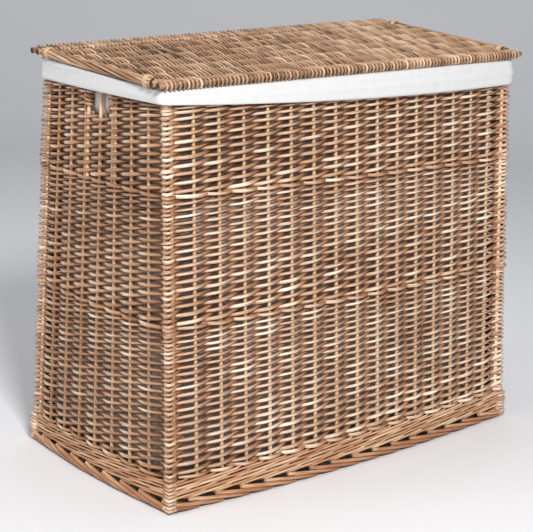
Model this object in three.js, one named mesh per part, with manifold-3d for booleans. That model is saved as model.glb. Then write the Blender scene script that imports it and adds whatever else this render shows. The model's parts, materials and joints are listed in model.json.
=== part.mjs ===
// Rectangular willow laundry hamper: three bands of siding woven on upright stakes, a woven lid that
// turns on two willow loops at the back, and a cotton liner turned over the rim.
// Millimetres, +X along the long side, +Y to the back, +Z up, origin at the middle of the base.
import * as THREE from 'three';
import { mergeVertices } from 'three/addons/utils/BufferGeometryUtils.js';
import Module from 'manifold-3d';

const wasm = await Module();
wasm.setup();

// Driving dimensions
const basketHeight = 600;
const footLength = 677;
const footDepth = 357;
const lengthAtTop = 668;
const depthAtTop = 292;
const longBow = { foot: 18, top: 7 };
const shortBow = { foot: 11, top: 5 };
const cornerRadius = 6;
const wall = 17;
const gap = 0.3;
const tightestRadius = 4;
const stepsOnSides = [10, 6, 10, 6];

// Heights of the walls' courses
const borderTop = 16;
const waleTop = 44;
const lowerTop = 250;
const middleTop = 425;
const upperTop = 570;
const rimTop = 583;
const borderProud = 2;
const borderThickness = 24;

// Uprights
const stakeRadius = 2.8;
const channelHalf = 3.2;
const channelGap = gap + 0.1;
const stakeTop = upperTop + 5;
const longStakes = 15;
const shortStakes = 7;
const postInset = 11;
const postRadius = 4.4;
const postSpread = 5;
const rimEndGap = 4;
const rimSteps = 12;

// Handle holes in the short sides
const handleHalf = 25;
const handleLow = 520;
const handleHigh = 558;
const handleStakeOffset = 7.2;
const handleCut = { inwards: 45, outwards: 20 };

// Base
const baseLow = 23;
const baseHigh = 36;
const baseStickRadius = 4.2;
const baseStickCount = 8;
const baseStickPitch = 39;

// Lid
const lidLow = 586;
const lidHigh = 600;
const lidLength = 695;
const lidDepth = 318;
const lidStickRadius = 4;
const edgeStickRadius = 4.2;
const edgeStickInset = 7;
const edgePairSpread = 14.5;
const innerSticks = 6;
const innerStickPitch = 41;
const cornerSetback = 7;
const bindFromEdge = 40;
const bindWidth = 9;
const bindLength = 16;
const bindThickness = 2.4;

// Hinge loops
const loopX = 185;
const loopWidth = 10;
const loopInner = 4.6;
const loopOuter = 7;
const rimCoreY = 145;
const rimCoreZ = 577.8;
const rimCoreRadius = 4.2;
const loopClearance = 1;
const slitClearance = 3;
const beyond = 10;

// Liner
const clothThickness = 1.2;
const bagClearance = 5;
const cuffClearance = 0.8;
const cuffLow = 548;
const bagLow = 37;
const foldLow = rimTop + 0.4;

const lidMiddle = (lidLow + lidHigh) / 2;
const halfLength = footLength / 2;
const halfDepth = footDepth / 2;
const hamper = new THREE.Group();

// Colours
const finishes = {
  weave: { color: 0x9a7350, roughness: 0.62 },
  wale: { color: 0x8a5f3f, roughness: 0.65 },
  stakes: { color: 0xb38f66, roughness: 0.6 },
  lid: { color: 0xa07c58, roughness: 0.6 },
  binding: { color: 0xc2a27a, roughness: 0.55 },
  cotton: { color: 0xf0efee, roughness: 0.95 },
};

function addPart(name, geometry, finish) {
  const material = new THREE.MeshStandardMaterial({ ...finishes[finish], metalness: 0 });
  const mesh = new THREE.Mesh(geometry, material);
  mesh.name = name;
  hamper.add(mesh);
}

// Solids for cutting and joining
function toSolid(geometry) {
  const bare = geometry.clone();
  bare.deleteAttribute('normal');
  bare.deleteAttribute('uv');
  const merged = mergeVertices(bare, 1e-4);
  const vertProperties = new Float32Array(merged.attributes.position.array);
  const triVerts = new Uint32Array(merged.index.array);
  return new wasm.Manifold(new wasm.Mesh({ numProp: 3, vertProperties, triVerts }));
}

function toGeometry(solid) {
  const mesh = solid.getMesh();
  const geometry = new THREE.BufferGeometry();
  geometry.setAttribute('position', new THREE.BufferAttribute(new Float32Array(mesh.vertProperties), 3));
  geometry.setIndex(new THREE.BufferAttribute(new Uint32Array(mesh.triVerts), 1));
  geometry.computeVertexNormals();
  return geometry;
}

function box(low, high) {
  const size = high.map((value, axis) => value - low[axis]);
  const geometry = new THREE.BoxGeometry(...size);
  geometry.translate(...low.map((value, axis) => value + size[axis] / 2));
  return geometry;
}

// The walls lean in towards the top and bow out between the corners. A point of the foot's plan,
// drawn as a plain rounded rectangle, moves along a straight line as the height grows.
function settle(geometry) {
  const position = geometry.attributes.position;
  for (let i = 0; i < position.count; i += 1) {
    const u = position.getX(i);
    const v = position.getY(i);
    const climb = position.getZ(i) / basketHeight;
    const acrossU = u / halfLength;
    const acrossV = v / halfDepth;
    const endBow = THREE.MathUtils.lerp(shortBow.foot, shortBow.top, climb);
    const sideBow = THREE.MathUtils.lerp(longBow.foot, longBow.top, climb);
    const x = u * THREE.MathUtils.lerp(1, lengthAtTop / footLength, climb);
    const y = v * THREE.MathUtils.lerp(1, depthAtTop / footDepth, climb);
    position.setX(i, x + endBow * acrossU * (1 - acrossV ** 2));
    position.setY(i, y + sideBow * acrossV * (1 - acrossU ** 2));
  }
  geometry.computeVertexNormals();
  return geometry;
}

// Points of a rounded rectangle set in from the foot's plan, dense enough to follow the bow
function planPoints(inset) {
  const u = halfLength - inset;
  const v = halfDepth - inset;
  const radius = Math.max(cornerRadius - inset, tightestRadius);
  const corners = [[1, 1, 0], [-1, 1, 90], [-1, -1, 180], [1, -1, 270]];
  const points = [];
  corners.forEach(([signU, signV, startAngle], corner) => {
    for (let turn = 0; turn <= 2; turn += 1) {
      const angle = THREE.MathUtils.degToRad(startAngle + turn * 45);
      const x = signU * (u - radius) + radius * Math.cos(angle);
      const y = signV * (v - radius) + radius * Math.sin(angle);
      points.push(new THREE.Vector2(x, y));
    }
    const [nextU, nextV, nextAngle] = corners[(corner + 1) % 4];
    const last = points[points.length - 1];
    const angle = THREE.MathUtils.degToRad(nextAngle);
    const next = new THREE.Vector2(
      nextU * (u - radius) + radius * Math.cos(angle),
      nextV * (v - radius) + radius * Math.sin(angle),
    );
    for (let step = 1; step < stepsOnSides[corner]; step += 1) {
      points.push(last.clone().lerp(next, step / stepsOnSides[corner]));
    }
  });
  return points;
}

function rise(shape, low, high) {
  const geometry = new THREE.ExtrudeGeometry(shape, { depth: high - low, bevelEnabled: false, steps: 1 });
  geometry.translate(0, 0, low);
  return settle(geometry);
}

function planSolid(inset, low, high) {
  return toSolid(rise(new THREE.Shape(planPoints(inset)), low, high));
}

function ring(outerInset, innerInset, low, high) {
  const shape = new THREE.Shape(planPoints(outerInset));
  shape.holes.push(new THREE.Path(planPoints(innerInset)));
  return rise(shape, low, high);
}

// Even places between two corners, with the same gap next to each corner
function spread(run, count) {
  const pitch = 2 * run / (count + 1);
  return Array.from({ length: count }, (_, i) => -run + (i + 1) * pitch);
}

// Uprights, as places on the foot's plan
function stakePlaces() {
  const longRun = halfLength - wall / 2;
  const shortRun = halfDepth - wall / 2;
  const longPlaces = spread(longRun, longStakes);
  const shortPlaces = spread(shortRun, shortStakes);
  return {
    front: longPlaces.map((u) => [u, -shortRun]),
    back: longPlaces.map((u) => [u, shortRun]),
    left: shortPlaces.map((v) => [-longRun, v]),
    right: shortPlaces.map((v) => [longRun, v]),
  };
}

function square([u, v], half) {
  const corners = [[-1, -1], [1, -1], [1, 1], [-1, 1]];
  return corners.map(([a, b]) => new THREE.Vector2(u + a * half, v + b * half));
}

// Two rods side by side across the corner's diagonal
function postOutline(signU, signV, radius) {
  const u = signU * (halfLength - postInset);
  const v = signV * (halfDepth - postInset);
  const along = new THREE.Vector2(signU, -signV).normalize();
  const start = Math.atan2(along.y, along.x) - Math.PI / 2;
  const points = [];
  for (const end of [0, 1]) {
    const side = end === 0 ? 1 : -1;
    for (let step = 0; step <= 4; step += 1) {
      const angle = start + end * Math.PI + step * Math.PI / 4;
      const x = u + side * along.x * postSpread + radius * Math.cos(angle);
      const y = v + side * along.y * postSpread + radius * Math.sin(angle);
      points.push(new THREE.Vector2(x, y));
    }
  }
  return points;
}

const posts = {
  front_left: [-1, -1],
  front_right: [1, -1],
  back_left: [-1, 1],
  back_right: [1, 1],
};

const stakes = stakePlaces();

function handleStakePlaces() {
  const shortPitch = stakes.left[1][1] - stakes.left[0][1];
  const v = shortPitch - handleStakeOffset;
  return {
    left_front: [stakes.left[0][0], -v],
    left_back: [stakes.left[0][0], v],
    right_front: [stakes.right[0][0], -v],
    right_back: [stakes.right[0][0], v],
  };
}

const handleStakes = handleStakePlaces();

// Walls
function channelOutlines() {
  const uprights = Object.values(stakes).flat().map((place) => square(place, channelHalf));
  const corners = Object.values(posts).map(([a, b]) => postOutline(a, b, postRadius + channelGap));
  return [...uprights, ...corners];
}

// A course of weaving: a ring of wall with a channel for each upright
function course(low, high, outlines) {
  let solid = toSolid(ring(0, wall, low, high));
  for (const points of outlines) {
    solid = solid.subtract(toSolid(rise(new THREE.Shape(points), low, high)));
  }
  return solid;
}

function addWalls() {
  const outlines = channelOutlines();
  const doubled = Object.values(handleStakes).map((place) => square(place, channelHalf));
  addPart('foot_border', ring(-borderProud, borderThickness - borderProud, 0, borderTop), 'wale');
  addPart('upsett_wale', toGeometry(course(borderTop + gap, waleTop, outlines)), 'wale');
  addPart('lower_siding', toGeometry(course(waleTop + gap, lowerTop, outlines)), 'weave');
  addPart('middle_siding', toGeometry(course(lowerTop + gap, middleTop, outlines)), 'weave');
  let siding = course(middleTop + gap, upperTop, [...outlines, ...doubled]);
  for (const side of [-1, 1]) {
    const near = side * (halfLength - handleCut.inwards);
    const far = side * (halfLength + handleCut.outwards);
    const low = [Math.min(near, far), -handleHalf, handleLow];
    const high = [Math.max(near, far), handleHalf, handleHigh];
    siding = siding.subtract(toSolid(box(low, high)));
  }
  addPart('upper_siding', toGeometry(siding), 'weave');
}

function roundPoints([u, v], radius, sides) {
  return Array.from({ length: sides }, (_, i) => {
    const angle = 2 * Math.PI * (i + 0.5) / sides;
    return new THREE.Vector2(u + radius * Math.cos(angle), v + radius * Math.sin(angle));
  });
}

function upright(place, low, high) {
  return rise(new THREE.Shape(roundPoints(place, stakeRadius, 6)), low, high);
}

// One wall's share of the rim border, between the corner posts
function rimBar(side) {
  const clear = postInset + postSpread + postRadius + rimEndGap;
  const long = side === 'front' || side === 'back';
  const sign = side === 'back' || side === 'right' ? 1 : -1;
  const reach = (long ? halfLength : halfDepth) - clear;
  const outer = (long ? halfDepth : halfLength);
  const inner = outer - wall;
  const run = Array.from({ length: rimSteps + 1 }, (_, i) => -reach + 2 * reach * i / rimSteps);
  const place = (along, across) => (long
    ? new THREE.Vector2(along, sign * across)
    : new THREE.Vector2(sign * across, along));
  const points = [
    ...run.map((along) => place(along, outer)),
    ...run.toReversed().map((along) => place(along, inner)),
  ];
  return rise(new THREE.Shape(points), upperTop + gap, rimTop);
}

// The stakes of a wall and the rim border that their turned-down tops form
function addStakes() {
  for (const [side, places] of Object.entries(stakes)) {
    let comb = toSolid(rimBar(side));
    if (side === 'back') {
      comb = withHingeCores(comb);
    }
    for (const place of places) {
      comb = comb.add(toSolid(upright(place, borderTop + gap, stakeTop)));
    }
    addPart(`${side}_stakes_and_rim`, toGeometry(comb), 'stakes');
  }
  for (const [name, [a, b]] of Object.entries(posts)) {
    const shape = new THREE.Shape(postOutline(a, b, postRadius));
    addPart(`corner_post_${name}`, rise(shape, borderTop + gap, stakeTop), 'stakes');
  }
  for (const [name, place] of Object.entries(handleStakes)) {
    addPart(`handle_stake_${name}`, upright(place, middleTop + gap, upperTop - gap), 'stakes');
  }
}

// The rim is cut back to a round core where a hinge loop goes round it
function withHingeCores(comb) {
  let result = comb;
  for (const side of [-1, 1]) {
    const x = side * loopX;
    const half = loopWidth / 2 + loopClearance;
    const low = [x - half, rimCoreY - 2 * wall, upperTop - 2];
    const high = [x + half, rimCoreY + 2 * wall, rimTop + 2];
    const cut = box(low, high);
    const core = new THREE.CylinderGeometry(rimCoreRadius, rimCoreRadius, 2 * half + 4, 12);
    core.rotateZ(Math.PI / 2);
    core.translate(x, rimCoreY, rimCoreZ);
    result = result.subtract(toSolid(cut)).add(toSolid(core));
  }
  return result;
}

// A slab that runs along X, with a channel for each lengthwise stick
function slabSolid(outline, length, sticks) {
  let slab = toSolid(alongX(new THREE.Shape(outline), length));
  for (const { y, z, radius } of sticks) {
    const channel = new THREE.Shape(roundPoints([y, z], radius + channelGap, 8));
    slab = slab.subtract(toSolid(alongX(channel, length + 2)));
  }
  return slab;
}

// Turns a shape drawn in (y, z) into a solid that runs along X
function alongX(shape, length) {
  const geometry = new THREE.ExtrudeGeometry(shape, { depth: length, bevelEnabled: false, steps: 1 });
  const frame = new THREE.Matrix4().makeBasis(
    new THREE.Vector3(0, 1, 0),
    new THREE.Vector3(0, 0, 1),
    new THREE.Vector3(1, 0, 0),
  );
  geometry.applyMatrix4(frame);
  geometry.translate(-length / 2, 0, 0);
  return geometry;
}

function stickGeometry(stick, length) {
  return alongX(new THREE.Shape(roundPoints([stick.y, stick.z], stick.radius, 8)), length);
}

function evenSticks(count, pitch, z, radius) {
  return Array.from({ length: count }, (_, i) => ({ y: (i - (count - 1) / 2) * pitch, z, radius }));
}

// Base
function addBase() {
  const middle = (baseLow + baseHigh) / 2;
  const sticks = evenSticks(baseStickCount, baseStickPitch, middle, baseStickRadius);
  const corners = [[-halfDepth, baseLow], [halfDepth, baseLow], [halfDepth, baseHigh], [-halfDepth, baseHigh]];
  const outline = corners.map(([y, z]) => new THREE.Vector2(y, z));
  const slab = slabSolid(outline, footLength, sticks);
  const inside = planSolid(wall + 1, baseLow - 5, baseHigh + 5);
  addPart('base_weave', toGeometry(slab.intersect(inside)), 'weave');
  const length = 2 * (halfLength - wall - 3);
  sticks.forEach((stick, i) => {
    addPart(`base_stick_${i + 1}`, stickGeometry(stick, length), 'stakes');
  });
}

// Lid
const edgeSticks = {
  front_outer: -(lidDepth / 2 - edgeStickInset),
  front_inner: -(lidDepth / 2 - edgeStickInset - edgePairSpread),
  back_inner: lidDepth / 2 - edgeStickInset - edgePairSpread,
  back_outer: lidDepth / 2 - edgeStickInset,
};

// Flat slab whose front and back edges are half round
function lidOutline() {
  const radius = (lidHigh - lidLow) / 2;
  const points = [];
  for (const [sign, start] of [[1, -90], [-1, 90]]) {
    for (let step = 0; step <= 6; step += 1) {
      const angle = THREE.MathUtils.degToRad(start + step * 30);
      const y = sign * (lidDepth / 2 - radius) + radius * Math.cos(angle);
      points.push(new THREE.Vector2(y, lidMiddle + radius * Math.sin(angle)));
    }
  }
  return points;
}

// A loop round the end rods: outer box less inner box, passing through the weave on its inner side
function bindSolid(signX, signY, grow) {
  const end = lidLength / 2 - 0.5;
  const y = signY * (lidDepth / 2 - bindFromEdge);
  const half = bindWidth / 2 + grow;
  const low = lidLow + 0.2;
  const high = lidHigh - 0.2;
  const thick = bindThickness + grow;
  const inside = end - bindLength;
  const span = (a, b) => [Math.min(signX * a, signX * b), Math.max(signX * a, signX * b)];
  const [outerLow, outerHigh] = span(inside - grow, end + grow);
  const [innerLow, innerHigh] = span(inside + thick - grow, end - thick + grow);
  const outer = box([outerLow, y - half, low - grow], [outerHigh, y + half, high + grow]);
  const innerBottom = low - grow + thick;
  const innerTop = high + grow - thick;
  const inner = box([innerLow, y - half - 1, innerBottom + grow], [innerHigh, y + half + 1, innerTop - grow]);
  return toSolid(outer).subtract(toSolid(inner));
}

function addLid() {
  const edges = Object.values(edgeSticks).map((y) => ({ y, z: lidMiddle, radius: edgeStickRadius }));
  const inner = evenSticks(innerSticks, innerStickPitch, lidMiddle, lidStickRadius);
  let slab = slabSolid(lidOutline(), lidLength - 1, [...edges, ...inner]);
  for (const signX of [-1, 1]) {
    for (const signY of [-1, 1]) {
      slab = slab.subtract(bindSolid(signX, signY, gap));
      slab = slab.subtract(toSolid(cornerBlock(signX, signY)));
    }
    slab = slab.subtract(toSolid(loopNotch(signX)));
  }
  addPart('lid_weave', toGeometry(slab), 'lid');
  edges.forEach((stick, i) => {
    addPart(`lid_edge_stick_${Object.keys(edgeSticks)[i]}`, stickGeometry(stick, lidLength), 'stakes');
  });
  inner.forEach((stick, i) => {
    addPart(`lid_stick_${i + 1}`, stickGeometry(stick, lidLength - 8), 'stakes');
  });
  for (const [name, [signX, signY]] of Object.entries(posts)) {
    addPart(`lid_bind_${name}`, toGeometry(bindSolid(signX, signY, 0)), 'binding');
  }
}

// The weave stops short at the corners, so that the edge sticks' ends stand out
function cornerBlock(signX, signY) {
  const nearX = signX * (lidLength / 2 - cornerSetback);
  const farX = signX * (lidLength / 2 + beyond);
  const nearY = signY * (lidDepth / 2 - bindFromEdge + bindWidth / 2 + 1);
  const farY = signY * (lidDepth / 2 + beyond);
  const low = [Math.min(nearX, farX), Math.min(nearY, farY), lidLow - beyond];
  const high = [Math.max(nearX, farX), Math.max(nearY, farY), lidHigh + beyond];
  return box(low, high);
}

// The weave leaves the back stick bare where a hinge loop goes round it
function loopNotch(signX) {
  const half = loopWidth / 2 + 1.5 * loopClearance;
  const x = signX * loopX;
  const nearY = edgeSticks.back_outer - loopOuter - edgeStickRadius;
  return box([x - half, nearY, lidLow - beyond], [x + half, lidDepth / 2 + beyond, lidHigh + beyond]);
}

// Outline of a link round the lid's back stick and the rim's core
function linkOutline(radius) {
  const stick = new THREE.Vector2(edgeSticks.back_outer, lidMiddle);
  const core = new THREE.Vector2(rimCoreY, rimCoreZ);
  const direction = core.clone().sub(stick);
  const heading = Math.atan2(direction.y, direction.x);
  const points = [];
  for (const [centre, start] of [[core, heading - Math.PI / 2], [stick, heading + Math.PI / 2]]) {
    for (let step = 0; step <= 6; step += 1) {
      const angle = start + step * Math.PI / 6;
      points.push(new THREE.Vector2(
        centre.x + radius * Math.cos(angle),
        centre.y + radius * Math.sin(angle),
      ));
    }
  }
  return points;
}

function addHingeLoops() {
  for (const [name, sign] of [['left', -1], ['right', 1]]) {
    const shape = new THREE.Shape(linkOutline(loopOuter));
    shape.holes.push(new THREE.Path(linkOutline(loopInner)));
    const loop = alongX(shape, loopWidth);
    loop.translate(sign * loopX, 0, 0);
    addPart(`hinge_loop_${name}`, loop, 'binding');
  }
}

// Liner: a bag that hangs inside, folds over the rim and ends in a cuff outside, slit at the loops
function addLiner() {
  const bagOuter = wall + bagClearance;
  const bagInner = bagOuter + clothThickness;
  const cuffInner = -cuffClearance;
  const cuffOuter = cuffInner - clothThickness;
  const foldHigh = foldLow + clothThickness;
  const bag = planSolid(bagOuter, bagLow, foldHigh)
    .subtract(planSolid(bagInner, bagLow + clothThickness, foldHigh + 5));
  const cuff = planSolid(cuffOuter, cuffLow, foldHigh)
    .subtract(planSolid(cuffInner, cuffLow - 5, foldHigh + 5));
  const fold = planSolid(cuffOuter, foldLow, foldHigh)
    .subtract(planSolid(bagInner, foldLow - 5, foldHigh + 5));
  let liner = bag.add(cuff).add(fold);
  for (const sign of [-1, 1]) {
    const x = sign * loopX;
    const half = loopWidth / 2 + slitClearance;
    const near = rimCoreY - loopOuter - 2;
    const slit = box([x - half, near, upperTop - 1], [x + half, near + 2 * wall, basketHeight]);
    liner = liner.subtract(toSolid(slit));
  }
  addPart('liner', toGeometry(liner), 'cotton');
}

addWalls();
addStakes();
addBase();
addLid();
addHingeLoops();
addLiner();

export default hamper;
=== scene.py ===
# A lidded willow laundry hamper with a cotton liner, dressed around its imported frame.
# Metres, +X along the long side, +Y to the back, +Z up.
import json
import math

import bpy
import bmesh
from mathutils import Matrix, Vector, noise


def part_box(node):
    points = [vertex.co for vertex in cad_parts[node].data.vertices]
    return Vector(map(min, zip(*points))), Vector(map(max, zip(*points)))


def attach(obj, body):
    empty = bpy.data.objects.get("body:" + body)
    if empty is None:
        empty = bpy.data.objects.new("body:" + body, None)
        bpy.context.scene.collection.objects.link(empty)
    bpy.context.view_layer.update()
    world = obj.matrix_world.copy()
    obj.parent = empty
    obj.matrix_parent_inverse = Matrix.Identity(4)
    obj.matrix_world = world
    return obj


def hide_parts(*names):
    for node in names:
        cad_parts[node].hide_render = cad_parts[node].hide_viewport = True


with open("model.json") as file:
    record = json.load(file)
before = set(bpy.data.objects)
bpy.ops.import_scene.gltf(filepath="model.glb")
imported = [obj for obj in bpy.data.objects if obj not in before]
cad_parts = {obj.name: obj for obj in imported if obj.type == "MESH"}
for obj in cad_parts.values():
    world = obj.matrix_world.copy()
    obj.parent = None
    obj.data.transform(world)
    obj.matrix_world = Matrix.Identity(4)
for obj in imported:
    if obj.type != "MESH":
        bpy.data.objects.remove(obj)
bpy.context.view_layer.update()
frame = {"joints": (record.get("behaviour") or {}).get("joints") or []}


# node formulas in plain arithmetic

class Term:
    # one socket of a node tree, used in plain arithmetic

    def __init__(self, tree, socket):
        self.tree = tree
        self.socket = socket

    def math(self, operation, *others):
        node = self.tree.nodes.new("ShaderNodeMath")
        node.operation = operation
        for place, value in enumerate((self, *others)):
            plug(self.tree, value, node.inputs[place])
        return Term(self.tree, node.outputs[0])

    def __add__(self, other):
        return self.math("ADD", other)

    def __sub__(self, other):
        return self.math("SUBTRACT", other)

    def __mul__(self, other):
        return self.math("MULTIPLY", other)

    def __truediv__(self, other):
        return self.math("DIVIDE", other)

    def __rsub__(self, other):
        return self.math("MULTIPLY", -1.0).math("ADD", other)

    __radd__ = __add__
    __rmul__ = __mul__


def plug(tree, value, socket):
    if isinstance(value, Term):
        tree.links.new(value.socket, socket)
    else:
        socket.default_value = value


def addNode(tree, kind, inputs=None, output=0, **settings):
    node = tree.nodes.new(kind)
    for name, value in settings.items():
        setattr(node, name, value)
    for key, value in (inputs or {}).items():
        plug(tree, value, node.inputs[key])
    return Term(tree, node.outputs[output])


def newTree(name, kind, inputs, outputs):
    tree = bpy.data.node_groups.new(name, kind)
    for label, (socketType, value) in inputs.items():
        socket = tree.interface.new_socket(label, in_out="INPUT", socket_type="NodeSocket" + socketType)
        if value is not None:
            socket.default_value = value
    for label, socketType in outputs.items():
        tree.interface.new_socket(label, in_out="OUTPUT", socket_type="NodeSocket" + socketType)
    entry = tree.nodes.new("NodeGroupInput")
    given = {label: Term(tree, entry.outputs[label]) for label in inputs}
    return tree, given, tree.nodes.new("NodeGroupOutput")


def newRodTree(name, inputs):
    inputs = dict(inputs)
    inputs["Material"] = ("Material", None)
    return newTree(name, "GeometryNodeTree", inputs, {"Geometry": "Geometry"})


def cosine(angle):
    return angle.math("COSINE")


def sine(angle):
    return angle.math("SINE")


def limit(value, low, high):
    return value.math("MAXIMUM", low).math("MINIMUM", high)


def whole(value):
    return value.math("FLOOR")


def wrapped(value, period):
    return value.math("FLOORED_MODULO", period)


def blendOf(start, end, share):
    # a mix that works whichever of start and end is a plain number
    return share * (end - start) + start


def smoothStep(value, low, high):
    inputs = {"Value": value, "From Min": low, "From Max": high}
    return addNode(value.tree, "ShaderNodeMapRange", inputs, interpolation_type="SMOOTHSTEP")


def vectorOf(tree, x, y, z):
    return addNode(tree, "ShaderNodeCombineXYZ", {"X": x, "Y": y, "Z": z})


def vectorSum(first, second):
    return addNode(first.tree, "ShaderNodeVectorMath", {0: first, 1: second}, operation="ADD")


def vectorScale(vector, factor):
    return addNode(vector.tree, "ShaderNodeVectorMath", {0: vector, "Scale": factor}, operation="SCALE")


def partsOf(vector):
    node = vector.tree.nodes.new("ShaderNodeSeparateXYZ")
    plug(vector.tree, vector, node.inputs[0])
    return [Term(vector.tree, socket) for socket in node.outputs]


def randomOf(tree, low, high, identity, seed):
    node = tree.nodes.new("FunctionNodeRandomValue")
    node.data_type = "FLOAT"
    for place, value in ((2, low), (3, high), (7, identity), (8, seed)):
        plug(tree, value, node.inputs[place])
    return Term(tree, node.outputs[1])


def noiseOf(tree, vector, scale, detail=2.0):
    inputs = {"Vector": vector, "Scale": scale, "Detail": detail}
    return addNode(tree, "ShaderNodeTexNoise", inputs) - 0.5


# growing pieces with geometry nodes

def rodCurves(tree, points, rods):
    # equal splines of so many points, and each point's number along its rod and its rod's number
    line = addNode(tree, "GeometryNodeCurvePrimitiveLine")
    line = addNode(tree, "GeometryNodeResampleCurve", {"Curve": line, "Count": points})
    copies = tree.nodes.new("GeometryNodeDuplicateElements")
    copies.domain = "SPLINE"
    plug(tree, line, copies.inputs["Geometry"])
    plug(tree, rods, copies.inputs["Amount"])
    step = addNode(tree, "GeometryNodeSplineParameter", output=2)
    return Term(tree, copies.outputs[0]), step, Term(tree, copies.outputs[1])


def keepValue(geometry, name, value, domain="POINT", kind="FLOAT"):
    inputs = {"Geometry": geometry, "Name": name, "Value": value}
    return addNode(geometry.tree, "GeometryNodeStoreNamedAttribute", inputs, domain=domain, data_type=kind)


def keptValue(tree, name, kind="FLOAT"):
    return addNode(tree, "GeometryNodeInputNamedAttribute", {"Name": name}, data_type=kind)


def sampleLoop(loop, number, name, kind="FLOAT_VECTOR"):
    tree = loop.tree
    if name == "position":
        value = addNode(tree, "GeometryNodeInputPosition")
    else:
        value = keptValue(tree, name, kind)
    inputs = {"Geometry": loop, "Value": value, "Index": number}
    node = tree.nodes.new("GeometryNodeSampleIndex")
    node.data_type = kind
    for key, item in inputs.items():
        plug(tree, item, node.inputs[key])
    return Term(tree, node.outputs["Value"])


def finishRods(curves, place, values, given, outside, cutOut=None):
    # places the curves, gives them their thickness and their skin's values, and ends the tree
    tree = curves.tree
    shaped = addNode(tree, "GeometryNodeSetPosition", {"Geometry": curves, "Position": place})
    for name, value in values.items():
        shaped = keepValue(shaped, name, value)
    if cutOut:
        edges = addNode(tree, "GeometryNodeCurveToMesh", {"Curve": shaped})
        inputs = {"Geometry": edges, "Selection": cutOut}
        edges = addNode(tree, "GeometryNodeDeleteGeometry", inputs, domain="POINT")
        shaped = addNode(tree, "GeometryNodeMeshToCurve", {"Mesh": edges})
    circle = addNode(tree, "GeometryNodeCurvePrimitiveCircle", {"Resolution": given["Sides"], "Radius": 1.0})
    around = addNode(tree, "GeometryNodeInputPosition")
    circle = keepValue(circle, "ring", around, kind="FLOAT_VECTOR")
    inputs = {
        "Curve": shaped,
        "Profile Curve": circle,
        "Scale": keptValue(tree, "thick"),
        "Fill Caps": True,
    }
    tube = addNode(tree, "GeometryNodeCurveToMesh", inputs)
    corners = addNode(tree, "GeometryNodeInputMeshFaceNeighbors")
    tube = keepValue(tube, "cut", corners.math("GREATER_THAN", 4.5), domain="FACE")
    tube = addNode(tree, "GeometryNodeSetShadeSmooth", {"Geometry": tube, "Shade Smooth": True})
    tube = addNode(tree, "GeometryNodeRealizeInstances", {"Geometry": tube})
    tube = addNode(tree, "GeometryNodeSetMaterial", {"Geometry": tube, "Material": given["Material"]})
    tree.links.new(tube.socket, outside.inputs[0])
    return tree


def grow(name, tree, values, carrier=None):
    # runs a tree once and keeps its result as a plain mesh
    mesh = carrier.copy() if carrier else bpy.data.meshes.new(name)
    piece = bpy.data.objects.new(name, mesh)
    bpy.context.scene.collection.objects.link(piece)
    modifier = piece.modifiers.new("grow", "NODES")
    modifier.node_group = tree
    for item in tree.interface.items_tree:
        if item.in_out == "INPUT" and item.name in values:
            modifier[item.identifier] = values[item.name]
    graph = bpy.context.evaluated_depsgraph_get()
    grown = bpy.data.meshes.new_from_object(piece.evaluated_get(graph), depsgraph=graph)
    piece.modifiers.clear()
    piece.data = grown
    grown.name = name
    return piece


def settle(piece, body, slot, *nodes):
    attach(piece, body)
    if nodes:
        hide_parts(*nodes)


# the plan of the walls

plan = {
    "length": 0.677,
    "depth": 0.357,
    "height": 0.600,
    "lengthAtTop": 0.668,
    "depthAtTop": 0.292,
    "longBow": (0.018, 0.007),
    "shortBow": (0.011, 0.005),
    "stakeInset": 0.0085,
    "cornerRadius": 0.007,
    "cornerShare": 0.3,
    "cornerReach": 0.7,
    "longGaps": 16,
    "shortGaps": 8,
    "steps": 6,
}
# a sampled number stands this far past a whole one, so that rounding can't pick the one before
pastWhole = 0.25
# stakes stand about this far apart, which sets how fast a skin's streaks run
stakeSpacing = 0.041

stakeCount = 2 * (plan["longGaps"] + plan["shortGaps"])
loopCount = stakeCount * plan["steps"]

# how the settled top rises to the right and to the back, and from where up
tilt = {
    "alongLength": 0.0105 / 0.347,
    "alongDepth": 0.0115 / 0.159,
    "twist": 0.0025 / (0.347 * 0.159),
    "from": 0.532,
    "to": 0.583,
}


def mix(start, end, share):
    return start + (end - start) * share


def easeShare(value, low, high):
    share = min(max((value - low) / (high - low), 0), 1)
    return share * share * (3 - 2 * share)


def leanPoint(u, v, z):
    # a point of the foot's plain plan, carried up the leaning and bowing wall
    rise = z / plan["height"]
    acrossU = u / (plan["length"] / 2)
    acrossV = v / (plan["depth"] / 2)
    x = u * mix(1, plan["lengthAtTop"] / plan["length"], rise)
    y = v * mix(1, plan["depthAtTop"] / plan["depth"], rise)
    x += mix(*plan["shortBow"], rise) * acrossU * (1 - acrossV ** 2)
    y += mix(*plan["longBow"], rise) * acrossV * (1 - acrossU ** 2)
    return Vector((x, y, z))


def tiltAt(x, y):
    # how much higher the settled top stands at a place, given as numbers or as formulas
    return x * tilt["alongLength"] + y * tilt["alongDepth"] + x * y * tilt["twist"]


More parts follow.
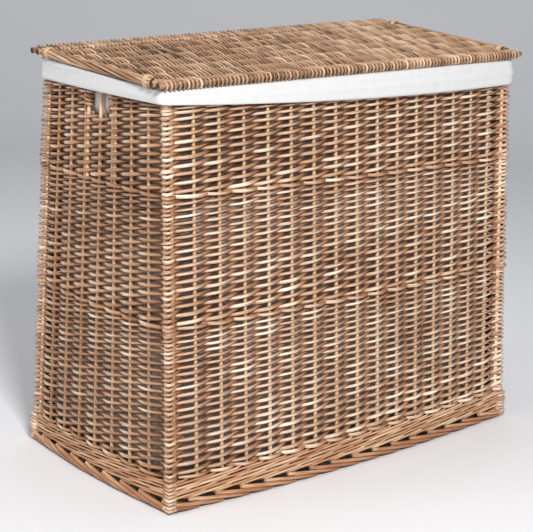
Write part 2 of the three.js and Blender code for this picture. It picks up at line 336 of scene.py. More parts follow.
def planLoop(inset, radius):
    # places round the plan from the front left corner, with the way outwards and the gaps to a corner
    halfX = plan["length"] / 2 - inset
    halfY = plan["depth"] / 2 - inset
    corners = [(-1, -1), (1, -1), (1, 1), (-1, 1)]
    points = []
    for side, (cornerX, cornerY) in enumerate(corners):
        gaps = plan["longGaps"] if side % 2 == 0 else plan["shortGaps"]
        length = 2 * (halfX if side % 2 == 0 else halfY)
        pitch = length / gaps
        arcHalf = pitch * plan["cornerShare"]
        facing = math.radians(side * 90 - 90)
        nextX, nextY = corners[(side + 1) % 4]
        for step in range(gaps * plan["steps"]):
            far = step / plan["steps"] * pitch
            near = min(far, length - far)
            first = far <= length - far
            signX, signY = (cornerX, cornerY) if first else (nextX, nextY)
            if near < arcHalf:
                angle = facing + (math.pi / 4) * (1 - near / arcHalf) * (-1 if first else 1)
                x = signX * (halfX - radius) + radius * math.cos(angle)
                y = signY * (halfY - radius) + radius * math.sin(angle)
            else:
                angle = facing
                run = near
                if near < pitch:
                    run = mix(radius, pitch, (near - arcHalf) / (pitch - arcHalf))
                alongX = round(math.cos(facing + math.pi / 2)) * (run if first else -run)
                alongY = round(math.sin(facing + math.pi / 2)) * (run if first else -run)
                x = signX * halfX + alongX
                y = signY * halfY + alongY
            reach = 1 + plan["cornerReach"] * max(1 - near / arcHalf, 0)
            outward = Vector((math.cos(angle), math.sin(angle), 0)) * reach
            points.append((x, y, outward, near / pitch))
    return points


def pointCarrier(name, points, **columns):
    # a mesh of bare points that a tree reads its places from, with a value of each kind at each point
    mesh = bpy.data.meshes.new(name)
    mesh.from_pydata(points, [], [])
    for label, values in columns.items():
        asVector = isinstance(values[0], Vector)
        attribute = mesh.attributes.new(label, "FLOAT_VECTOR" if asVector else "FLOAT", "POINT")
        for item, value in zip(attribute.data, values):
            setattr(item, "vector" if asVector else "value", value)
    return mesh


def wallCarrier(name, places, **columns):
    # the feet of uprights, with the way each leans, faces and is lifted at the top
    foot = [leanPoint(x, y, 0) for x, y, outward in places]
    top = [leanPoint(x, y, plan["height"]) for x, y, outward in places]
    columns["lean"] = [(high - low) / plan["height"] for low, high in zip(foot, top)]
    columns["outward"] = [outward for x, y, outward in places]
    columns["tilt"] = [tiltAt(place.x, place.y) for place in top]
    return pointCarrier(name, foot, **columns)


def loopCarrier():
    points = planLoop(plan["stakeInset"], plan["cornerRadius"])
    gaps = [point[3] for point in points]
    return wallCarrier("stakeLine", [point[:3] for point in points], cornerGap=gaps)


stakeLine = loopCarrier()


def wallPlace(loop, number, offset, height):
    # the place at a loop number, so far outwards from the stakes' line and so high
    tree = loop.tree
    share = smoothStep(height, tilt["from"], tilt["to"])
    raised = share * sampleLoop(loop, number, "tilt", "FLOAT")
    lean = vectorScale(sampleLoop(loop, number, "lean"), height)
    out = vectorScale(sampleLoop(loop, number, "outward"), offset)
    place = vectorSum(vectorSum(sampleLoop(loop, number, "position"), lean), out)
    return vectorSum(place, vectorOf(tree, 0.0, 0.0, raised))


def climb(passed, low, high, footPitch, topPitch):
    # height and pitch of a siding rod that has passed so many stakes, and its share of the way up
    share = passed / ((high - low) * 4.0 / (footPitch + topPitch))
    height = low + footPitch * passed / 2.0 + (topPitch - footPitch) * passed * share / 4.0
    pitch = footPitch + (topPitch - footPitch) * share
    return height, pitch, share


# finishes

def colour(red, green, blue):
    # a colour as it is seen on a screen, made linear
    return tuple(((value / 255 + 0.055) / 1.055) ** 2.4 for value in (red, green, blue)) + (1.0,)


def colourMix(tree, share, first, second, kind="MIX"):
    node = tree.nodes.new("ShaderNodeMix")
    node.data_type = "RGBA"
    node.blend_type = kind
    plug(tree, share, node.inputs[0])
    plug(tree, first, node.inputs[6])
    plug(tree, second, node.inputs[7])
    return Term(tree, node.outputs[2])


def attributeOf(tree, name, output="Fac"):
    return addNode(tree, "ShaderNodeAttribute", output=output, attribute_name=name)


def addBump(tree, height, strength, distance):
    shader = tree.nodes["Principled BSDF"]
    bump = addNode(tree, "ShaderNodeBump", {"Height": height, "Strength": strength, "Distance": distance})
    tree.links.new(bump.socket, shader.inputs["Normal"])


def buildWillowSkin():
    # stained willow: a tone of its own for each rod and streaks along it, made paler where the rod is
    # marked, as rubbed wear and painted highlight
    inputs = {
        "Dark": ("Color", None),
        "Mid": ("Color", None),
        "Pale": ("Color", None),
        "Pith": ("Color", None),
        "Rub and highlight": ("Float", 0.5),
        "Patches": ("Float", 0.5),
        "Spread": ("Float", 0.3),
        "Painted highlight": ("Float", 0.3),
    }
    outputs = {"Color": "Color", "Roughness": "Float", "Height": "Float"}
    tree, given, outside = newTree("willowSkin", "ShaderNodeTree", inputs, outputs)
    tone = attributeOf(tree, "tone")
    along = attributeOf(tree, "along")
    wearAndHighlight = attributeOf(tree, "wearAndHighlight")
    cut = attributeOf(tree, "cut")
    ring = attributeOf(tree, "ring", "Vector")
    stretched = vectorSum(vectorScale(ring, 1.3), vectorOf(tree, tone * 91.0, tone * 37.0, along * 34.0))
    streak = noiseOf(tree, stretched, 1.0, 3.0)
    fine = vectorSum(vectorScale(ring, 9.0), vectorOf(tree, tone * 50.0, 0.0, along * 60.0))
    grain = noiseOf(tree, fine, 1.0, 2.0)
    patch = noiseOf(tree, addNode(tree, "ShaderNodeTexCoord", output="Object"), 9.0, 2.0)
    level = (tone - 0.5) * given["Spread"] + streak * 0.8 + patch * given["Patches"] + 0.5
    # painted highlight: the level rises where the rod is marked, so that part of each stroke is painted
    # paler
    level = level + (wearAndHighlight - 0.1) * given["Painted highlight"]
    low = smoothStep(level, 0.02, 0.52)
    high = smoothStep(level, 0.50, 1.05)
    shade = colourMix(tree, low, given["Dark"], given["Mid"])
    shade = colourMix(tree, high, shade, given["Pale"])
    # rubbed wear on the proud parts and painted highlight together: pale is mixed in where the rod is marked
    rubAndHighlight = smoothStep(wearAndHighlight + streak * 0.9 + grain * 0.5, 0.35, 1.25) * given["Rub and highlight"]
    shade = colourMix(tree, rubAndHighlight, shade, given["Pale"])
    pith = colourMix(tree, smoothStep(grain + streak, -0.5, 0.4), given["Dark"], given["Pith"])
    shade = colourMix(tree, cut, shade, pith)
    tree.links.new(shade.socket, outside.inputs["Color"])
    tree.links.new((streak * 0.15 + 0.33).socket, outside.inputs["Roughness"])
    tree.links.new((streak * 0.6 + grain * 0.4).socket, outside.inputs["Height"])
    return tree


willowSkin = buildWillowSkin()


def willow(name, dark, mid, pale, pith=(150, 122, 98), rubAndHighlight=0.2, spread=0.3, paintedHighlight=0.3):
    material = bpy.data.materials.new(name)
    material.use_nodes = True
    tree = material.node_tree
    shader = tree.nodes["Principled BSDF"]
    skin = tree.nodes.new("ShaderNodeGroup")
    skin.node_tree = willowSkin
    for key, value in (("Dark", dark), ("Mid", mid), ("Pale", pale), ("Pith", pith)):
        skin.inputs[key].default_value = colour(*value)
    # how much rubbed wear and painted highlight, and how much painted highlight alone, the skin puts on
    skin.inputs["Rub and highlight"].default_value = rubAndHighlight
    skin.inputs["Spread"].default_value = spread
    skin.inputs["Painted highlight"].default_value = paintedHighlight
    addBump(tree, Term(tree, skin.outputs["Height"]), 0.35, 0.0012)
    tree.links.new(skin.outputs["Color"], shader.inputs["Base Color"])
    tree.links.new(skin.outputs["Roughness"], shader.inputs["Roughness"])
    shader.inputs["Specular IOR Level"].default_value = 0.8
    return material


def cotton(name):
    # bleached plain-weave cloth: fine threads both ways, slightly uneven
    material = bpy.data.materials.new(name)
    material.use_nodes = True
    tree = material.node_tree
    shader = tree.nodes["Principled BSDF"]
    cloth = addNode(tree, "ShaderNodeUVMap", uv_map="cloth")
    across, up = partsOf(cloth)[:2]
    threads = 2 * math.pi * 1100
    warp = sine(across * threads)
    weft = sine(up * threads)
    slub = noiseOf(tree, vectorScale(cloth, 90.0), 1.0, 3.0)
    shade = colourMix(tree, smoothStep(slub, -0.4, 0.4), colour(206, 205, 204), colour(213, 212, 211))
    tree.links.new(shade.socket, shader.inputs["Base Color"])
    tree.links.new((slub * 0.15 + 0.86).socket, shader.inputs["Roughness"])
    addBump(tree, warp * weft * 0.5 + slub, 0.25, 0.0004)
    shader.inputs["Specular IOR Level"].default_value = 0.2
    shader.inputs["Sheen Weight"].default_value = 0.15
    return material


finishes = {
    "weave": willow("willowWeave", (80, 47, 31), (174, 130, 97), (250, 232, 210), paintedHighlight=0.22),
    "foot": willow("willowFoot", (84, 46, 30), (168, 116, 80), (232, 202, 168), pith=(246, 236, 220)),
    "stake": willow("willowStake", (150, 112, 82), (220, 184, 146), (246, 228, 204)),
    "lid": willow("willowLid", (60, 38, 26), (176, 138, 106), (246, 222, 194), (70, 62, 56), 0.1, 0.7, 0.0),
    "binding": willow("willowBinding", (122, 92, 66), (192, 160, 126), (240, 220, 192)),
    "cotton": cotton("bleachedCotton"),
}
print("finishes are ready")


# siding

siding = {
    "footPitch": 0.0118,
    "topPitch": 0.0081,
    "footRadius": 0.0027,
    "topRadius": 0.00185,
    "sides": 6,
    "lead": 5,
    # how far the painted highlight is led ahead of each front crossing, onto the half of the stroke that
    # faces the key light
    "paintedHighlightLead": 0.27,
    "wander": 0.0022,
    "wanderOut": 0.0012,
    "stakeRadius": 0.0031,
    "cornerTurn": 1.35,
    "wrapPoints": 9,
    "wrapFootRadius": 0.0027,
    "wrapTopRadius": 0.0020,
}

sidingInputs = {
    "Loop": ("Geometry", None),
    "Rods": ("Int", stakeCount),
    "Points": ("Int", 250),
    "Low": ("Float", 0.0),
    "High": ("Float", 0.2),
    "Foot pitch": ("Float", siding["footPitch"]),
    "Top pitch": ("Float", siding["topPitch"]),
    "Foot radius": ("Float", siding["footRadius"]),
    "Top radius": ("Float", siding["topRadius"]),
    "Stake radius": ("Float", siding["stakeRadius"]),
    "Sides": ("Int", siding["sides"]),
    "Seed": ("Int", 1),
}


def buildRanding():
    # one long rod starts at each stake and climbs as it goes in front of one stake and behind the next
    inputs = dict(sidingInputs)
    inputs["Hole half"] = ("Float", 0.0)
    inputs["Hole low"] = ("Float", 0.0)
    inputs["Hole high"] = ("Float", 0.0)
    tree, given, outside = newRodTree("randing", inputs)
    curves, step, rod = rodCurves(tree, given["Points"], given["Rods"])
    stepsPerGap = float(plan["steps"])
    passed = (step - float(siding["lead"])) / stepsPerGap
    number = wrapped(rod * stepsPerGap + step - float(siding["lead"]) + pastWhole, float(loopCount))
    low, high = given["Low"], given["High"]
    height, pitch, share = climb(passed, low, high, given["Foot pitch"], given["Top pitch"])
    seed = given["Seed"]
    share = limit(share, 0.0, 1.0)
    plump = randomOf(tree, 0.88, 1.12, rod, seed)
    thick = (given["Foot radius"] + (given["Top radius"] - given["Foot radius"]) * share) * plump
    # near a corner every second front crossing makes room for the post's extra wrap
    cornerGap = sampleLoop(given["Loop"], number, "cornerGap", "FLOAT")
    atCorner = smoothStep(cornerGap, 0.5, 0.1)
    turn = wrapped(whole(passed + 0.5), 4.0)
    shifted = (turn - 2.0).math("ABSOLUTE").math("LESS_THAN", 0.5)
    height = height + atCorner * shifted * pitch / 3.0
    # the rods that go round a corner's outside turn in close to the post
    close = cornerGap.math("LESS_THAN", 0.999) * wrapped(rod, 2.0).math("LESS_THAN", 0.5)
    tight = cosine(limit(cornerGap * siding["cornerTurn"], 0.0, 1.0) * math.pi)
    wave = blendOf(cosine(passed * math.pi), tight, close)
    wander = noiseOf(tree, vectorOf(tree, passed, rod * 3.7, seed * 5.1), 1.0, 1.0)
    height = height + wander * siding["wander"]
    height = height.math("MAXIMUM", low + thick).math("MINIMUM", high - thick)
    swing = (given["Stake radius"] + thick) * wave
    place = wallPlace(given["Loop"], number, swing + wander * siding["wanderOut"], height)
    values = {
        "thick": thick,
        "tone": randomOf(tree, 0.0, 1.0, rod, seed + 7.0),
        "along": passed * stakeSpacing,
        # painted highlight: the mark peaks just before each front crossing, on the half of the stroke that
        # faces the key light
        "wearAndHighlight": cosine((passed + siding["paintedHighlightLead"]) * math.pi),
    }
    # the rods stop at the sides of a handle hole
    x, y, z = partsOf(addNode(tree, "GeometryNodeInputPosition"))
    beside = y.math("ABSOLUTE").math("LESS_THAN", given["Hole half"])
    atEnds = x.math("ABSOLUTE").math("GREATER_THAN", plan["lengthAtTop"] / 2 - 0.03)
    above = z.math("GREATER_THAN", given["Hole low"])
    inHole = beside * atEnds * above * z.math("LESS_THAN", given["Hole high"])
    return finishRods(curves, place, values, given, outside, cutOut=inHole)


def buildCornerWraps():
    # short rods that go round the corner posts between the siding's own crossings
    tree, given, outside = newRodTree("cornerWraps", sidingInputs)
    curves, step, rod = rodCurves(tree, given["Points"], given["Rods"])
    corner = wrapped(rod, 4.0)
    turn = whole(rod / 4.0)
    passed = turn * 4.0
    reachSteps = (given["Points"] - 1.0) / 2.0
    side = (step - reachSteps) / reachSteps
    start = wrapped(corner, 2.0) * float(plan["longGaps"] * plan["steps"])
    start = start + whole(corner / 2.0) * float(loopCount // 2)
    number = wrapped(start + step - reachSteps + pastWhole, float(loopCount))
    low, high = given["Low"], given["High"]
    height, pitch, share = climb(passed, low, high, given["Foot pitch"], given["Top pitch"])
    height = height + pitch * (2.0 / 3.0) + side * pitch / 6.0
    seed = given["Seed"]
    plump = randomOf(tree, 0.85, 1.1, rod, seed)
    thick = (given["Foot radius"] + (given["Top radius"] - given["Foot radius"]) * share) * plump
    height = height.math("MAXIMUM", low + thick).math("MINIMUM", high - thick)
    wave = cosine(side * math.pi)
    swing = (given["Stake radius"] + thick) * wave
    place = wallPlace(given["Loop"], number, swing, height)
    values = {
        "thick": thick,
        "tone": randomOf(tree, 0.3, 1.0, rod, seed + 3.0),
        "along": side * 0.03 + turn,
        # the front of each wrap is marked high, so the skin paints it paler as rubbed wear and painted
        # highlight
        "wearAndHighlight": wave,
    }
    return finishRods(curves, place, values, given, outside)


randing = buildRanding()
cornerWraps = buildCornerWraps()


def bandHeights(node):
    low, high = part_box(node)
    return low.z, high.z


handleHole = {"Hole half": 0.0262, "Hole low": 0.5195, "Hole high": 0.5615}


def addSiding():
    for seed, band in enumerate(("lower", "middle", "upper")):
        low, high = bandHeights(f"{band}_siding")
        meanPitch = (siding["footPitch"] + siding["topPitch"]) / 4
        reach = (high - low) / meanPitch
        values = {
            "Points": round(reach * plan["steps"]) + siding["lead"] + 1,
            "Low": low,
            "High": high,
            "Seed": seed * 11 + 1,
            "Material": finishes["weave"],
        }
        if band == "upper":
            values.update(handleHole)
        piece = grow(f"{band}Siding", randing, values, stakeLine)
        values["Rods"] = 4 * math.ceil(reach / 4)
        values["Points"] = siding["wrapPoints"]
        values["Foot radius"] = siding["wrapFootRadius"]
        values["Top radius"] = siding["wrapTopRadius"]
        wraps = grow(f"{band}CornerWraps", cornerWraps, values, stakeLine)
        settle(piece, "basket", "willow_weave", f"{band}_siding")
        settle(wraps, "basket", "willow_weave")
        print("siding", band, len(piece.data.polygons), "faces")


addSiding()


# uprights and the rim border

uprights = {
    "stakeRadius": 0.0031,
    "postRadius": 0.0036,
    "postFoot": 0.0006,
    "topGap": 0.004,
    "footGap": 0.002,
    "postSpread": 0.0036,
    "postInset": 0.0118,
    "handleOffset": 0.0072,
    "points": 14,
    "sides": 8,
}


def stakePlaces():
    points = planLoop(plan["stakeInset"], plan["cornerRadius"])
    return [(x, y, outward) for x, y, outward, gap in points[::plan["steps"]] if gap > 0.5]


def postPlaces():
    halfX = plan["length"] / 2 - uprights["postInset"]
    halfY = plan["depth"] / 2 - uprights["postInset"]
    places = []
    for signX, signY in ((-1, -1), (1, -1), (1, 1), (-1, 1)):
        outward = Vector((signX, signY, 0)).normalized()
        along = Vector((-outward.y, outward.x, 0)) * uprights["postSpread"]
        for side in (-1, 1):
            places.append((signX * halfX + side * along.x, signY * halfY + side * along.y, outward))
    return places


def handleStakePlaces():
    halfX = plan["length"] / 2 - plan["stakeInset"]
    pitch = (plan["depth"] - 2 * plan["stakeInset"]) / plan["shortGaps"]
    reach = pitch - uprights["handleOffset"]
    return [(side * halfX, end * reach, Vector((side, 0, 0))) for side in (-1, 1) for end in (-1, 1)]


def buildUprights():
    # a straight rod up the wall at each place of the carrier
    inputs = {
        "Places": ("Geometry", None),
        "Rods": ("Int", 1),
        "Points": ("Int", uprights["points"]),
        "Low": ("Float", 0.0),
        "High": ("Float", 0.5),
        "Radius": ("Float", uprights["stakeRadius"]),
        "Taper": ("Float", 0.15),
        "Sway": ("Float", 0.0012),
        "Sides": ("Int", uprights["sides"]),
        "Seed": ("Int", 1),
    }
    tree, given, outside = newRodTree("uprights", inputs)
    curves, step, rod = rodCurves(tree, given["Points"], given["Rods"])
    share = step / (given["Points"] - 1.0)
    height = blendOf(given["Low"], given["High"], share)
    sway = noiseOf(tree, vectorOf(tree, rod * 7.3, height * 9.0, given["Seed"] * 3.1), 1.0, 1.0)
    place = wallPlace(given["Places"], rod, sway * given["Sway"], height)
    plump = randomOf(tree, 0.92, 1.08, rod, given["Seed"])
    values = {
        "thick": given["Radius"] * plump * (1.0 - share * given["Taper"]),
        "tone": randomOf(tree, 0.2, 0.9, rod, given["Seed"] + 5.0),
        "along": height,
        "wearAndHighlight": share * 0.0 + 0.3,
    }
    return finishRods(curves, place, values, given, outside)


# upsett, a wale of three rods at a time

wale = {
    "rowHeight": 0.0071,
    "radius": 0.0018,
    "rowShift": 0.19,
    "swing": 0.0048,
    "wander": 0.0022,
    "wanderOut": 0.001,
    "sides": 6,
}


def buildWale():
    # each rod goes in front of two stakes and behind one, and climbs across its row as it goes in front
    inputs = {
        "Loop": ("Geometry", None),
        "Rows": ("Int", 4),
        "Points": ("Int", loopCount + 1),
        "Low": ("Float", 0.016),
        "Row height": ("Float", wale["rowHeight"]),
        "Radius": ("Float", wale["radius"]),
        "Swing": ("Float", wale["swing"]),
        "Sides": ("Int", wale["sides"]),
        "Seed": ("Int", 3),
    }
    tree, given, outside = newRodTree("wale", inputs)
    curves, step, rod = rodCurves(tree, given["Points"], given["Rows"] * 3.0)
    row = whole(rod / 3.0)
    passed = step / float(plan["steps"])
    number = wrapped(step + pastWhole, float(loopCount))
    # a row starts where the one below left off, so the strokes of the rows don't line up
    phase = wrapped((passed + wrapped(rod, 3.0)) / 3.0 + row * wale["rowShift"] + 1.0 / 6.0, 1.0)
    stroke = (phase * 1.5).math("MINIMUM", (1.0 - phase) * 3.0)
    wander = noiseOf(tree, vectorOf(tree, passed * 0.6, rod * 5.3, given["Seed"] * 2.7), 1.0, 1.0)
    height = given["Low"] + (row + stroke) * given["Row height"] + wander * wale["wander"]
    front = limit(cosine((phase - 1.0 / 3.0) * 2.0 * math.pi) * 1.6 + 0.9, -0.6, 1.0)
    place = wallPlace(given["Loop"], number, front * given["Swing"] + wander * wale["wanderOut"], height)
    plump = randomOf(tree, 0.85, 1.15, rod, given["Seed"])
    piece = whole(passed / 7.0 + rod * 0.61)
    values = {
        "thick": given["Radius"] * plump,
        "tone": randomOf(tree, 0.0, 1.0, piece + rod * 17.0, given["Seed"] + 2.0),
        "along": passed * stakeSpacing,
        # the front crossings are marked high, so the skin paints them paler as rubbed wear and painted
        # highlight
        "wearAndHighlight": front * 0.8,
    }
    return finishRods(curves, place, values, given, outside)


# foot border

border = {
    "gaps": 2.4,
    "start": 0.0150,
    "end": 0.0026,
    "radius": 0.0029,
    "out": 0.0046,
    "bow": 0.0022,
    "jitter": 0.0008,
    "lead": 2,
    "sides": 8,
}


def buildBorder():
    # one thick rod at each stake: its cut end stands high and its tip slopes down under the next ones
    inputs = {
        "Loop": ("Geometry", None),
        "Rods": ("Int", stakeCount),
        "Points": ("Int", round(border["gaps"] * plan["steps"]) + 1),
        "Start": ("Float", border["start"]),
        "End": ("Float", border["end"]),
        "Radius": ("Float", border["radius"]),
        "Sides": ("Int", border["sides"]),
        "Seed": ("Int", 5),
    }
    tree, given, outside = newRodTree("footBorder", inputs)
    curves, step, rod = rodCurves(tree, given["Points"], given["Rods"])
    share = step / (given["Points"] - 1.0)
    shift = float(loopCount - border["lead"])
    number = wrapped(rod * float(plan["steps"]) + step + shift + pastWhole, float(loopCount))
    jitter = randomOf(tree, -border["jitter"], border["jitter"], rod, given["Seed"])
    height = blendOf(given["Start"], given["End"], share) + jitter * (1.0 - share)
    out = sine(share * math.pi) * border["bow"] + border["out"] + jitter
    place = wallPlace(given["Loop"], number, out, height)
    plump = randomOf(tree, 0.9, 1.08, rod, given["Seed"] + 4.0)
    point = 1.0 - smoothStep(share, 0.8, 1.0) * 0.55
    values = {
        "thick": given["Radius"] * plump * point,
        "tone": randomOf(tree, 0.2, 0.9, rod, given["Seed"] + 9.0),
        "along": share * 0.1 + rod,
        # the cut end that stands high is marked high and the tip under the next rods low, so the skin paints
        # the end paler as rubbed wear and painted highlight
        "wearAndHighlight": 0.75 - share * 0.8,
        "corner": sampleLoop(given["Loop"], number, "cornerGap", "FLOAT").math("LESS_THAN", 0.1),
    }
    # a rod stops at a corner, under the wraps, and another starts on its other side
    stopped = keptValue(tree, "corner").math("GREATER_THAN", 0.5)
    return finishRods(curves, place, values, given, outside, cutOut=stopped)


# coils: binds, hinge loops and the turns round the handle's sides

def buildCoil():
    # a helix round each place of the carrier, which also says its two half widths and its advance
    inputs = {
        "Places": ("Geometry", None),
        "Coils": ("Int", 1),
        "Turns": ("Float", 3.0),
        "Points": ("Int", 49),
        "Radius": ("Float", 0.0014),
        "Roughness": ("Float", 0.0006),
        "Sides": ("Int", 8),
        "Seed": ("Int", 1),
    }
    tree, given, outside = newRodTree("coil", inputs)
    curves, step, rod = rodCurves(tree, given["Points"], given["Coils"])
    turned = step / (given["Points"] - 1.0) * given["Turns"]
    angle = turned * 2.0 * math.pi
    places = given["Places"]
    jolt = noiseOf(tree, vectorOf(tree, turned * 2.1, rod * 4.9, given["Seed"] * 1.7), 1.0, 1.0)
    loose = jolt * given["Roughness"] * 60.0 + 1.0
    first = vectorScale(sampleLoop(places, rod, "halfWide"), cosine(angle) * loose)
    second = vectorScale(sampleLoop(places, rod, "halfHigh"), sine(angle) * loose)
    along = vectorScale(sampleLoop(places, rod, "advance"), turned - given["Turns"] / 2.0 + jolt * 0.5)
    place = vectorSum(vectorSum(sampleLoop(places, rod, "position"), along), vectorSum(first, second))
    values = {
        "thick": given["Radius"] * (jolt * 0.2 + 1.0),
        "tone": randomOf(tree, 0.2, 0.9, rod + whole(turned) * 31.0, given["Seed"]),
        "along": turned * 0.05 + rod,
        "wearAndHighlight": jolt + 0.3,
    }
    return finishRods(curves, place, values, given, outside)


def coilCarrier(name, coils):
    # each coil is its middle, two half widths and the advance of a turn
    middles, wide, high, advance = zip(*coils)
    return pointCarrier(name, middles, halfWide=wide, halfHigh=high, advance=advance)


# flat weaving for the lid and the base

def buildFlatWeave():
    # rods across sticks, over one and under the next, that may wrap round the last stick
    inputs = {
        "Rows": ("Int", 200),
        "Pitch": ("Float", 0.0034),
        "Run points": ("Int", 49),
        "Turn points": ("Int", 6),
        "Half run": ("Float", 0.152),
        "Half weave": ("Float", 0.1435),
        "First stick": ("Float", 0.0205),
        "Stick pitch": ("Float", 0.041),
        "Swing": ("Float", 0.0056),
        "Edge radius": ("Float", 0.0059),
        "Middle": ("Float", 0.593),
        "Radius": ("Float", 0.0018),
        "Tilt": ("Float", 0.0),
        "Sides": ("Int", 6),
        "Seed": ("Int", 1),
    }
    tree, given, outside = newRodTree("flatWeave", inputs)
    curves, step, rod = rodCurves(tree, given["Run points"] + given["Turn points"], given["Rows"])
    mirror = wrapped(rod, 2.0) * 2.0 - 1.0
    lastRun = given["Run points"] - 1.0
    run = limit(step / lastRun, 0.0, 1.0)
    turn = limit((step - lastRun) / given["Turn points"].math("MAXIMUM", 1.0), 0.0, 1.0)
    across = blendOf(given["Half run"] * -1.0, given["Half run"], run)
    inside = across.math("MAXIMUM", given["Half weave"] * -1.0).math("MINIMUM", given["Half weave"])
    wave = cosine((inside - given["First stick"]) / given["Stick pitch"] * math.pi) * -1.0
    angle = (0.5 - turn) * math.pi
    turning = turn.math("GREATER_THAN", 0.001)
    y = across + cosine(angle) * given["Edge radius"] * turning
    flat = wave * given["Swing"]
    z = blendOf(flat, sine(angle) * given["Edge radius"], turning)
    seed = given["Seed"]
    wander = noiseOf(tree, vectorOf(tree, rod * 0.31, across * 9.0, seed * 3.3), 1.0, 2.0)
    drift = noiseOf(tree, vectorOf(tree, rod * 3.1, across * 22.0, seed * 1.3), 1.0, 1.0)
    x = (rod - (given["Rows"] - 1.0) / 2.0 + turn) * given["Pitch"] + wander * 0.0030 + drift * 0.0012
    y = y * mirror
    z = z + given["Middle"] + drift * 0.0012
    z = z + tiltAt(x, y) * given["Tilt"]
    place = vectorOf(tree, x, y, z)
    plump = randomOf(tree, 0.82, 1.18, rod, seed)
    group = noiseOf(tree, vectorOf(tree, rod * 0.22, mirror * 3.0, seed * 1.9), 1.0, 2.0)
    values = {
        "thick": given["Radius"] * plump,
        "tone": limit(randomOf(tree, 0.0, 1.0, rod, seed + 5.0) * 0.7 + group * 0.8 + 0.15, 0.0, 1.0),
        "along": run * 0.3 + rod,
        # the turned rolls at the edges are marked high, so the skin paints them paler as rubbed wear and
        # painted highlight
        "wearAndHighlight": blendOf(wave, 0.7, turning),
    }
    return finishRods(curves, place, values, given, outside)


def buildSticks():
    # straight sticks along X at the carrier's places
    inputs = {
        "Places": ("Geometry", None),
        "Rods": ("Int", 1),
        "Points": ("Int", 20),
        "Half length": ("Float", 0.34),
        "Radius": ("Float", 0.004),
        "Wander": ("Float", 0.001),
        "Tilt": ("Float", 0.0),
        "Sides": ("Int", 12),
        "Seed": ("Int", 1),
    }
    tree, given, outside = newRodTree("sticks", inputs)
    curves, step, rod = rodCurves(tree, given["Points"], given["Rods"])
    share = step / (given["Points"] - 1.0)
    along = blendOf(given["Half length"] * -1.0, given["Half length"], share)
    drift = noiseOf(tree, vectorOf(tree, rod * 3.1, along * 6.0, given["Seed"] * 2.3), 1.0, 1.0)
    y, z = partsOf(sampleLoop(given["Places"], rod, "position"))[1:]
    y = y + drift * given["Wander"]
    place = vectorOf(tree, along, y, z + tiltAt(along, y) * given["Tilt"])
    values = {
        "thick": given["Radius"] * (drift * 0.05 + 1.0),
        "tone": randomOf(tree, 0.1, 0.8, rod, given["Seed"]),
        "along": along,
        "wearAndHighlight": drift,
    }
    return finishRods(curves, place, values, given, outside)


def buildEndRods():
    # a bundle of long rods along each end of the lid
    inputs = {
        "Rods": ("Int", 12),
        "Points": ("Int", 40),
        "Reach": ("Float", 0.3435),
        "Half run": ("Float", 0.131),
        "Middle": ("Float", 0.593),
        "Radius": ("Float", 0.0021),
        "Sides": ("Int", 8),
        "Seed": ("Int", 1),
    }
    tree, given, outside = newRodTree("endRods", inputs)
    curves, step, rod = rodCurves(tree, given["Points"], given["Rods"])
    end = wrapped(rod, 2.0) * 2.0 - 1.0
    layer = whole(rod / 2.0)
    share = step / (given["Points"] - 1.0)
    y = blendOf(given["Half run"] * -1.0, given["Half run"], share)
    turn = y * 26.0 + layer * 1.05
    wander = noiseOf(tree, vectorOf(tree, rod * 3.3, y * 14.0, given["Seed"] * 1.1), 1.0, 1.0)
    x = end * (given["Reach"] - 0.0032 + cosine(turn) * 0.0036 + wander * 0.002)
    z = given["Middle"] + sine(turn) * 0.0046 + wander * 0.002
    z = z + tiltAt(x, y)
    place = vectorOf(tree, x, y, z)
    values = {
        "thick": given["Radius"] * randomOf(tree, 0.8, 1.1, rod, given["Seed"]),
        "tone": randomOf(tree, 0.1, 0.9, rod, given["Seed"] + 1.0),
        "along": y + rod,
        # the upper side of each twist is marked high, so the skin paints it paler as rubbed wear and painted
        # highlight
        "wearAndHighlight": sine(turn) * 0.6,
    }
    return finishRods(curves, place, values, given, outside)


uprightRods = buildUprights()
waleRods = buildWale()
borderRods = buildBorder()
coilRods = buildCoil()
flatRods = buildFlatWeave()
stickRods = buildSticks()
endRods = buildEndRods()
print("trees are built")


def wallAt(x, y, z):
    # a place on the finished wall, its top lifted as everything there is
    place = leanPoint(x, y, z)
    place.z += tiltAt(place.x, place.y) * easeShare(z, tilt["from"], tilt["to"])
    return place


rim = {
    "rows": 2,
    "lift": 0.001,
    "rowHeight": 0.0046,
    "radius": 0.0022,
}


